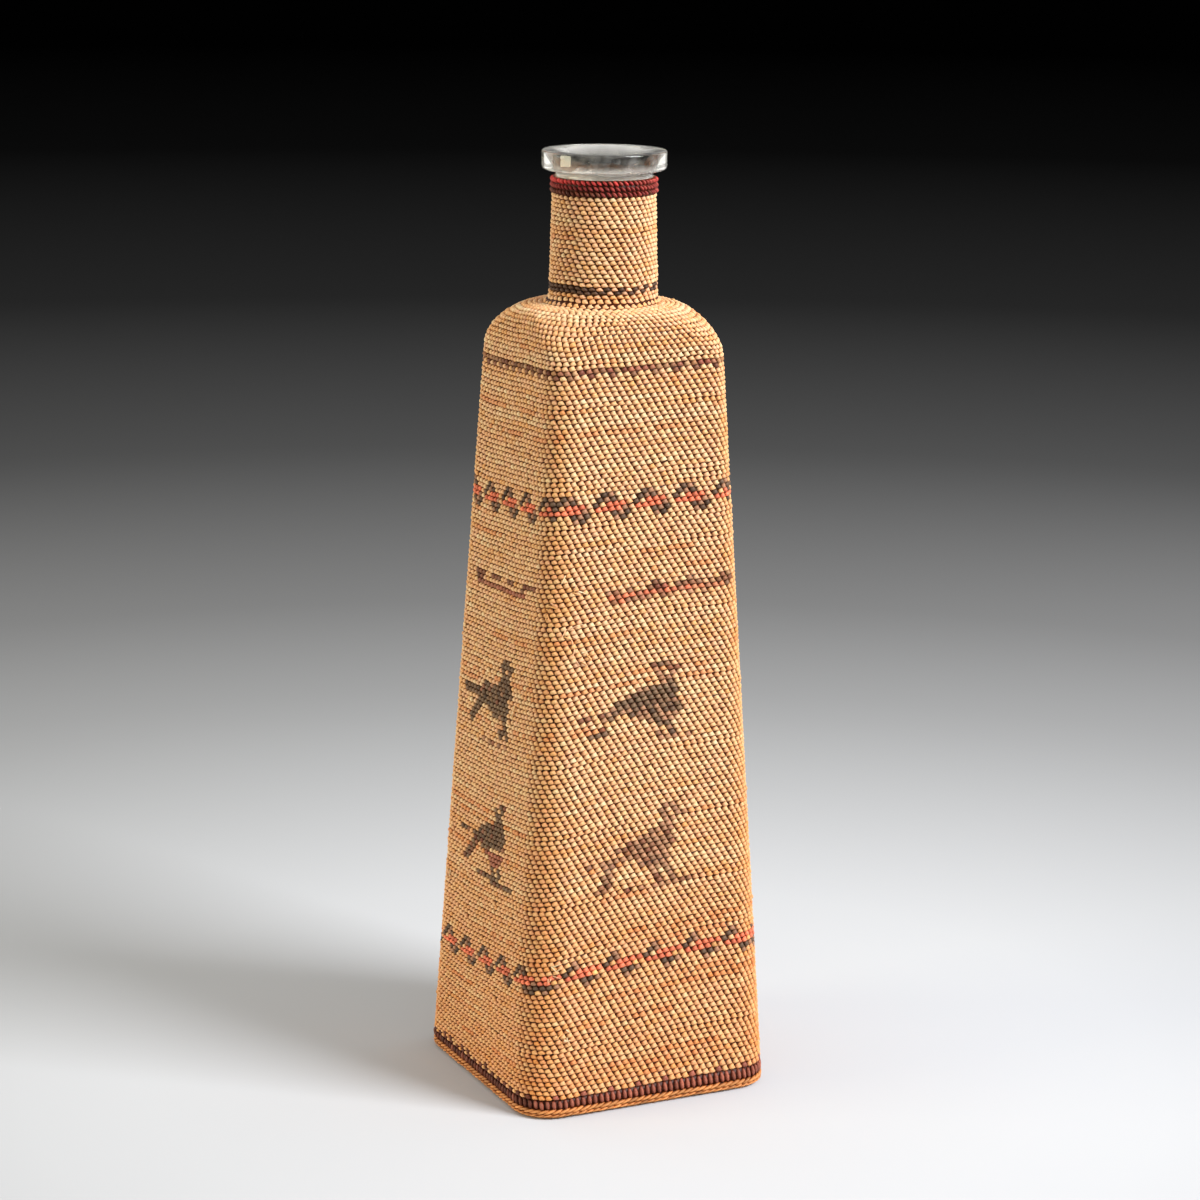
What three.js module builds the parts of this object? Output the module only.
// Basket-covered bottle: a square, tapering glass bottle inside a close-fitting twined basket.
// Units are millimetres, +Z is up, and the origin is the middle of the foot, on the surface it stands on.
// The basket is built on the bottle as a weaver builds it: bark warps are plaited under the glass and turned
// up its walls, and courses of weft are then worked round them from the foot border to the rim.
import * as THREE from 'three';

// Body and neck, measured over the weave
const FOOT_SIDE = 82.7;
const FOOT_CORNER = 12;
const SHOULDER_SIDE = 57;
const SHOULDER_CORNER = 7;
const SHOULDER_RISE = 15.75;
const SHOULDER_FULLNESS = 2.6; // exponent of the shoulder's curve: 2 is an ellipse, more is fuller
const SHOULDER_ROUNDING = 1.5; // exponent of how soon its corners round off on the way up
const NECK_FILLET = 2.5;
const NECK_FOOT_DIAMETER = 32.4;
const NECK_TOP_DIAMETER = 30.5;

// Courses of weft from the foot up: the body's are counted in rows, the others have their own heights
const BORDER_HEIGHT = 3;
const ROW_PITCH = 1.4;
const BODY_COURSES = [
  { name: 'foot_band', rows: 4, dye: 'maroon' },
  { name: 'lower_wall', rows: 20, dye: 'natural' },
  { name: 'lower_zigzag_band', rows: 8, dye: 'coral' },
  { name: 'lower_bird_wall', rows: 36, dye: 'natural' },
  { name: 'upper_bird_wall', rows: 32, dye: 'natural' },
  { name: 'canoe_wall', rows: 23, dye: 'natural' },
  { name: 'upper_zigzag_band', rows: 8, dye: 'coral' },
  { name: 'upper_wall', rows: 22, dye: 'natural' },
  { name: 'shoulder_line', rows: 3, dye: 'brown' },
];
const NECK_RING_HEIGHT = 3.4;
const NECK_WALL_HEIGHT = 26;
const RIM_HEIGHT = 4.8;
const RIM_PROUD = 0.9;
const RIM_ROUND = 0.8;

// Layers of the cover, from the outside in
const WEFT = 1.1;
const WARP = 0.6;
const FIT = 0.3;

// Foot border: a rounded rope of weft with a flat underside, which the part stands on
const BORDER_BULGE = 0.3;
const BORDER_UNDERCUT = 2;
const BORDER_REACH = 5;
const BORDER_LIP = 0.6;

// Warps: plaited over one and under one beneath the glass, clear of the surface below
const WARPS_EACH_WAY = 6;
const WARP_SPREAD = 0.75; // share of a face's girth that its warps are spread over
const WARP_COVER = 0.8; // share of its lane that a warp fills
const FLOOR_GAP = 0.9;

// Glass bottle
const GLASS_WALL = 3.5;
const GLASS_BASE = 6;
const HEEL = 4;
const FOOTING = 6;
const PUSH_UP = 3.5;
const BARE_NECK = 1.95;
const BARE_NECK_DIAMETER = 28.8;
const LIP_DIAMETER = 36.8;
const LIP_HEIGHT = 5.75;
const LIP_ROUND = 1.2;
const LIP_EDGE = 0.4;
const MOUTH_DIAMETER = 33.5;
const BORE_DIAMETER = 19;
const FUNNEL_DEPTH = 8;
const LEAST_CORNER = 0.3; // corner radius where an inner section would come to a point

// Facets
const CORNER_STEPS = 7;
const SHOULDER_STEPS = 5;
const FILLET_STEPS = 2;
const HEEL_STEPS = 3;
const FUNNEL_STEPS = 3;
const PUSH_UP_STEPS = 2;

// Levels and depths worked out from the sizes above
const bodyTop = BODY_COURSES.reduce((z, course) => z + course.rows * ROW_PITCH, BORDER_HEIGHT);
const neckFoot = bodyTop + SHOULDER_RISE + NECK_FILLET;
const neckWallFoot = neckFoot + NECK_RING_HEIGHT;
const rimFoot = neckWallFoot + NECK_WALL_HEIGHT;
const rimTop = rimFoot + RIM_HEIGHT;
const lipFoot = rimTop + BARE_NECK;
const lipTop = lipFoot + LIP_HEIGHT;
const warpOuter = WEFT + FIT;
const warpInner = warpOuter + WARP;
const glassOuter = warpInner + FIT;
const glassInner = glassOuter + GLASS_WALL;
const lowerWarpZ = FLOOR_GAP + WARP / 2;
const upperWarpZ = lowerWarpZ + WARP + FIT;
const glassFoot = upperWarpZ + WARP / 2 + FIT;
const warpLane = WARP_SPREAD / WARPS_EACH_WAY;

const lerp = THREE.MathUtils.lerp;

// Skin of the cover. A station is one level section: half its width, its corner radius, its height, and the
// way out of the surface there, as run (level) and rise (upright).
function bodyStation(z) {
  const t = z / bodyTop;
  const half = lerp(FOOT_SIDE, SHOULDER_SIDE, t) / 2;
  return { half, corner: lerp(FOOT_CORNER, SHOULDER_CORNER, t), z, run: 1, rise: 0 };
}

// The shoulder is a full dome, square below and round above, and turns up into the neck in a small fillet
function domeStation(step) {
  const angle = (step / SHOULDER_STEPS) * (Math.PI / 2);
  const domeTop = NECK_FOOT_DIAMETER / 2 + NECK_FILLET;
  const inset = SHOULDER_SIDE / 2 - domeTop;
  const across = Math.cos(angle) ** (2 / SHOULDER_FULLNESS);
  const up = Math.sin(angle) ** (2 / SHOULDER_FULLNESS);
  const half = domeTop + inset * across;
  const squareness = SHOULDER_CORNER / (SHOULDER_SIDE / 2);
  const corner = half * lerp(squareness, 1, Math.sin(angle) ** SHOULDER_ROUNDING);
  const steepness = SHOULDER_FULLNESS - 1;
  const out = new THREE.Vector2(across ** steepness / inset, up ** steepness / SHOULDER_RISE).normalize();
  return { half, corner, z: bodyTop + SHOULDER_RISE * up, run: out.x, rise: out.y };
}

function filletStation(step) {
  const angle = (step / FILLET_STEPS) * (Math.PI / 2);
  const half = NECK_FOOT_DIAMETER / 2 + NECK_FILLET * (1 - Math.sin(angle));
  const z = neckFoot - NECK_FILLET * Math.cos(angle);
  return { half, corner: half, z, run: Math.sin(angle), rise: Math.cos(angle) };
}

function neckStation(z) {
  const t = (z - neckFoot) / (rimTop - neckFoot);
  const half = lerp(NECK_FOOT_DIAMETER, NECK_TOP_DIAMETER, t) / 2;
  return { half, corner: half, z, run: 1, rise: 0 };
}

function shoulderStations() {
  const dome = Array.from({ length: SHOULDER_STEPS + 1 }, (_, step) => domeStation(step));
  const fillet = Array.from({ length: FILLET_STEPS }, (_, step) => filletStation(step + 1));
  return [...dome, ...fillet];
}

// The same section at a depth below the skin
function sunk(station, depth) {
  const half = station.half - depth * station.run;
  const corner = Math.min(half, Math.max(station.corner - depth * station.run, LEAST_CORNER));
  return { half, corner, z: station.z - depth * station.rise };
}

function round(radius, z) {
  return { half: radius, corner: radius, z };
}

function girth({ half, corner }) {
  return 2 * (half - corner) + (corner * Math.PI) / 2;
}

// Point of a section at a share of a face's girth, from -0.5 at one corner to 0.5 at the next. Face 0 is -Y.
function sectionPoint(section, startFace, startShare) {
  const { half, corner, z } = section;
  const passed = Math.round(startShare);
  const face = startFace + passed;
  const straight = half - corner;
  const along = (startShare - passed) * girth(section);
  const angle = Math.max(0, Math.abs(along) - straight) / corner;
  const x = Math.sign(along) * (Math.min(Math.abs(along), straight) + corner * Math.sin(angle));
  const y = -(straight + corner * Math.cos(angle));
  const turn = (face * Math.PI) / 2;
  const c = Math.round(Math.cos(turn));
  const s = Math.round(Math.sin(turn));
  return new THREE.Vector3(c * x - s * y, s * x + c * y, z);
}

// Shares that every section is sampled at: the edges of the warps' lanes, and finer steps round the corner
function ringShares() {
  const edge = WARP_SPREAD / 2;
  const lanes = Array.from({ length: WARPS_EACH_WAY }, (_, k) => -edge + k * warpLane);
  const bend = Array.from({ length: CORNER_STEPS }, (_, k) => lerp(edge, 1 - edge, k / CORNER_STEPS));
  return [...lanes, ...bend];
}

const SHARES = ringShares();

function ring(section) {
  return [0, 1, 2, 3].flatMap((face) => SHARES.map((share) => sectionPoint(section, face, share)));
}

// Mesh between rings of equal counts. Ends are closed to a point each, or the last ring joins the first.
// Two skins that face each other keep an even gap where both split their twisted quads on one diagonal, so
// the warps, which run between glass and weft, are split the other way round.
function loft(rings, ends, otherDiagonal = false) {
  const count = rings[0].length;
  const points = rings.flat();
  const index = [];
  const bands = ends ? rings.length - 1 : rings.length;
  for (let i = 0; i < bands; i++) {
    const low = i * count;
    const high = ((i + 1) % rings.length) * count;
    for (let k = 0; k < count; k++) {
      const next = (k + 1) % count;
      const [a, b, c, d] = [low + k, low + next, high + next, high + k];
      index.push(...(otherDiagonal ? [a, b, d, b, c, d] : [a, b, c, a, c, d]));
    }
  }
  if (ends) {
    const first = points.push(ends[0]) - 1;
    const last = points.push(ends[1]) - 1;
    const top = (rings.length - 1) * count;
    for (let k = 0; k < count; k++) {
      const next = (k + 1) % count;
      index.push(first, next, k, last, top + k, top + next);
    }
  }
  const geometry = new THREE.BufferGeometry().setFromPoints(points);
  geometry.setIndex(index);
  geometry.computeVertexNormals();
  return geometry;
}

// Materials
function finish(colour, roughness) {
  return new THREE.MeshStandardMaterial({ color: colour, roughness, metalness: 0 });
}

const MATERIALS = {
  glass: new THREE.MeshStandardMaterial({
    color: 0xdfe6e2, roughness: 0.05, metalness: 0, transparent: true, opacity: 0.35,
  }),
  bark: finish(0x8a5a34, 0.85),
  natural: finish(0xdcb27c, 0.7),
  coral: finish(0xdf7a55, 0.7),
  maroon: finish(0x7d4238, 0.75),
  brown: finish(0x6e4030, 0.75),
  charcoal: finish(0x4a3b34, 0.75),
  crimson: finish(0xb54242, 0.65),
};

const bottle = new THREE.Group();
bottle.name = 'basket_covered_bottle';

function add(name, geometry, material) {
  const mesh = new THREE.Mesh(geometry, MATERIALS[material]);
  mesh.name = name;
  bottle.add(mesh);
}

// Glass bottle: hollow, open at the mouth, with a heel and push-up below and a flared, funnelled lip above
function glassBottle() {
  const heelTop = sunk(bodyStation(glassFoot + HEEL), glassOuter);
  const bearing = heelTop.half - HEEL;
  const bearingCorner = Math.max(heelTop.corner - HEEL, LEAST_CORNER);
  const outside = [];
  for (let k = 1; k <= PUSH_UP_STEPS; k++) {
    const angle = (k / PUSH_UP_STEPS) * (Math.PI / 2);
    const half = (bearing - FOOTING) * Math.sin(angle);
    const corner = (half * bearingCorner) / bearing;
    outside.push({ half, corner, z: glassFoot + PUSH_UP * Math.cos(angle) });
  }
  for (let k = 0; k <= HEEL_STEPS; k++) {
    const angle = (k / HEEL_STEPS) * (Math.PI / 2);
    outside.push({
      half: bearing + HEEL * Math.sin(angle),
      corner: lerp(bearingCorner, heelTop.corner, Math.sin(angle)),
      z: glassFoot + HEEL * (1 - Math.cos(angle)),
    });
  }
  outside.push(...shoulderStations().map((station) => sunk(station, glassOuter)));
  outside.push(sunk(neckStation(rimTop), glassOuter));

  const lip = LIP_DIAMETER / 2;
  const bareNeck = BARE_NECK_DIAMETER / 2;
  const lipProfile = [
    round(bareNeck, rimTop + FIT),
    round(bareNeck, lipFoot),
    round(lip - LIP_ROUND, lipFoot),
    round(lip, lipFoot + LIP_ROUND),
    round(lip, lipTop - LIP_EDGE),
    round(lip - LIP_EDGE, lipTop),
  ];

  const inside = [];
  const mouth = MOUTH_DIAMETER / 2;
  const bore = BORE_DIAMETER / 2;
  for (let k = 0; k <= FUNNEL_STEPS; k++) {
    const angle = (k / FUNNEL_STEPS) * (Math.PI / 2);
    const radius = mouth - (mouth - bore) * Math.sin(angle);
    inside.push(round(radius, lipTop - FUNNEL_DEPTH * (1 - Math.cos(angle))));
  }
  inside.push(...shoulderStations().reverse().map((station) => sunk(station, glassInner)));
  const floor = sunk(bodyStation(glassFoot + GLASS_BASE + HEEL), glassInner);
  inside.push(floor);
  const floorCorner = Math.max(floor.corner - HEEL, LEAST_CORNER);
  inside.push({ half: floor.half - HEEL, corner: floorCorner, z: glassFoot + GLASS_BASE });

  const ends = [
    new THREE.Vector3(0, 0, glassFoot + PUSH_UP),
    new THREE.Vector3(0, 0, glassFoot + GLASS_BASE + PUSH_UP),
  ];
  return loft([...outside, ...lipProfile, ...inside].map(ring), ends);
}

// Warps: each runs down one wall, across under the glass in the plait, and up the wall opposite.
// A warp lies flat on its lane, so its edges are points of the straight line between the lane's own edges.
function laneShare(lane) {
  return (lane - (WARPS_EACH_WAY - 1) / 2) * warpLane;
}

function warpEdges(section, face, lane) {
  const way = face === 0 ? 1 : -1;
  const left = sectionPoint(section, face, way * (laneShare(lane) - warpLane / 2));
  const right = sectionPoint(section, face, way * (laneShare(lane) + warpLane / 2));
  const bare = (1 - WARP_COVER) / 2;
  return [left.clone().lerp(right, bare), right.clone().lerp(left, bare)];
}

function warpSection(inner, outer, face, lane) {
  return [...warpEdges(inner, face, lane), ...warpEdges(outer, face, lane).reverse()];
}

// One wall's length of a warp, from its bend under the glass to the rim
function warpWall(face, lane) {
  const heelTop = bodyStation(glassFoot + HEEL);
  const turn = sunk(heelTop, glassOuter + HEEL);
  const bent = (radius, angle) => ({
    half: turn.half + radius * Math.sin(angle),
    corner: turn.corner + radius * Math.sin(angle),
    z: glassFoot + HEEL - radius * Math.cos(angle),
  });
  const sections = [];
  for (let k = 0; k < HEEL_STEPS; k++) {
    const angle = (k / HEEL_STEPS) * (Math.PI / 2);
    sections.push(warpSection(bent(HEEL + FIT, angle), bent(HEEL + FIT + WARP, angle), face, lane));
  }
  for (const station of [heelTop, ...shoulderStations(), neckStation(rimTop - FIT)]) {
    sections.push(warpSection(sunk(station, warpInner), sunk(station, warpOuter), face, lane));
  }
  return sections;
}

// The stretch under the glass, which rises and falls over the warps that it crosses
function warpPlait(lane, crosswise) {
  const span = girth(sunk(bodyStation(glassFoot + HEEL), glassOuter + HEEL));
  const halfWidth = (span * warpLane * WARP_COVER) / 2;
  const left = span * laneShare(lane) - halfWidth;
  const right = span * laneShare(lane) + halfWidth;
  const sections = [];
  for (let crossed = 0; crossed < WARPS_EACH_WAY; crossed++) {
    const parity = lane + crossed + (crosswise ? WARPS_EACH_WAY : 0);
    const middle = parity % 2 === 0 ? upperWarpZ : lowerWarpZ;
    const top = middle + WARP / 2;
    const bottom = middle - WARP / 2;
    for (const y of [span * laneShare(crossed) - halfWidth, span * laneShare(crossed) + halfWidth]) {
      sections.push([
        new THREE.Vector3(left, y, top),
        new THREE.Vector3(right, y, top),
        new THREE.Vector3(right, y, bottom),
        new THREE.Vector3(left, y, bottom),
      ]);
    }
  }
  return sections;
}

function centreOf(points) {
  return points.reduce((sum, point) => sum.add(point), new THREE.Vector3()).divideScalar(points.length);
}

function warp(lane, crosswise) {
  const path = [...warpWall(0, lane).reverse(), ...warpPlait(lane, crosswise), ...warpWall(2, lane)];
  const geometry = loft(path, [centreOf(path[0]), centreOf(path[path.length - 1])], true);
  return crosswise ? geometry.rotateZ(Math.PI / 2) : geometry;
}

// Weft: a course is a closed band of the cover's outer layer, between two level cuts
function course(stations) {
  const outside = stations.map((station) => sunk(station, 0));
  const inside = stations.map((station) => sunk(station, WEFT)).reverse();
  return loft([...outside, ...inside].map(ring));
}

function footBorder() {
  const foot = (depth, z) => sunk({ ...bodyStation(z), z }, depth);
  return loft([
    foot(BORDER_REACH, 0),
    foot(BORDER_UNDERCUT, 0),
    foot(-BORDER_BULGE, BORDER_HEIGHT / 2),
    foot(0, BORDER_HEIGHT),
    foot(WEFT, BORDER_HEIGHT),
    foot(BORDER_REACH, BORDER_LIP),
  ].map(ring));
}

function rimBinding() {
  const rim = neckStation(rimFoot).half + RIM_PROUD;
  const inside = (z) => sunk(neckStation(z), WEFT);
  return loft([
    round(neckStation(rimFoot).half, rimFoot),
    round(rim, rimFoot + RIM_ROUND),
    round(rim, rimTop - RIM_ROUND),
    round(rim - RIM_ROUND, rimTop),
    inside(rimTop),
    inside(rimFoot),
  ].map(ring));
}

add('glass_bottle', glassBottle(), 'glass');
for (let lane = 0; lane < WARPS_EACH_WAY; lane++) {
  add(`warp_lengthwise_${lane + 1}`, warp(lane, false), 'bark');
  add(`warp_crosswise_${lane + 1}`, warp(lane, true), 'bark');
}
add('foot_border', footBorder(), 'natural');
let courseFoot = BORDER_HEIGHT;
for (const { name, rows, dye } of BODY_COURSES) {
  const courseTop = courseFoot + rows * ROW_PITCH;
  add(name, course([bodyStation(courseFoot), bodyStation(courseTop)]), dye);
  courseFoot = courseTop;
}
add('shoulder_wall', course(shoulderStations()), 'natural');
add('neck_ring', course([neckStation(neckFoot), neckStation(neckWallFoot)]), 'charcoal');
add('neck_wall', course([neckStation(neckWallFoot), neckStation(rimFoot)]), 'natural');
add('rim_binding', rimBinding(), 'crimson');

export default bottle;
